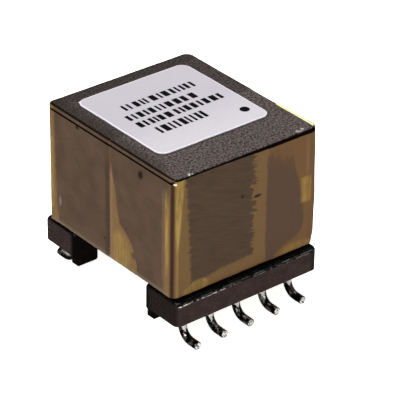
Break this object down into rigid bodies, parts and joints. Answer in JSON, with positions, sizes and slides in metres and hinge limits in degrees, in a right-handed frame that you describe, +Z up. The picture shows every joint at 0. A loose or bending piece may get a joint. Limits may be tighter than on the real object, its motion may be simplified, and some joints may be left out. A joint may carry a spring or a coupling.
{
  "type": "pcb transformer",
  "caption": "Surface-mount ferrite power transformer: taped two-part core on a wound bobbin with two rows of gull-wing wire pins.",
  "frame": {"origin": "on the board surface, under the middle of the transformer's outer box", "axes": "+Z up from the board, X along the pin rows, Y from the front pin row (pins 1 to 5, at -Y) to the rear one"},
  "size_m": [0.0132, 0.0168, 0.0142],
  "materials": {
    "label_film": "white film with a soft sheen",
    "core_tape": "clear amber film over dark ferrite, glossy",
    "ferrite": "ground ferrite, fine grain, dull",
    "adhesive": "cured adhesive",
    "moulding": "moulded phenolic, satin",
    "tinned_pin": "tinned wire, bright",
    "solder": "solder, bright",
    "enamelled_wire": "enamelled copper, glossy",
    "insulated_wire": "yellow film-insulated wire",
    "insulating_tape": "yellow polyester tape"
  },
  "bodies": {
    "root": {"label": "label_film", "core_tape": "core_tape", "core_half_front": "ferrite", "core_half_rear": "ferrite", "core_bond": "adhesive", "bobbin": "moulding", "pin_1": "tinned_pin", "pin_2": "tinned_pin", "pin_3": "tinned_pin", "pin_4": "tinned_pin", "pin_5": "tinned_pin", "pin_6": "tinned_pin", "pin_7": "tinned_pin", "pin_8": "tinned_pin", "pin_9": "tinned_pin", "pin_10": "tinned_pin", "solder_front": "solder", "solder_rear": "solder", "leads_front": "enamelled_wire", "leads_rear": "enamelled_wire", "winding_wrap": "insulating_tape", "primary_outer": "enamelled_wire", "barrier_outer": "insulating_tape", "auxiliary": "enamelled_wire", "barrier_middle": "insulating_tape", "secondary": "insulated_wire", "barrier_inner": "insulating_tape", "primary_inner": "enamelled_wire"}
  },
  "joints": []
}
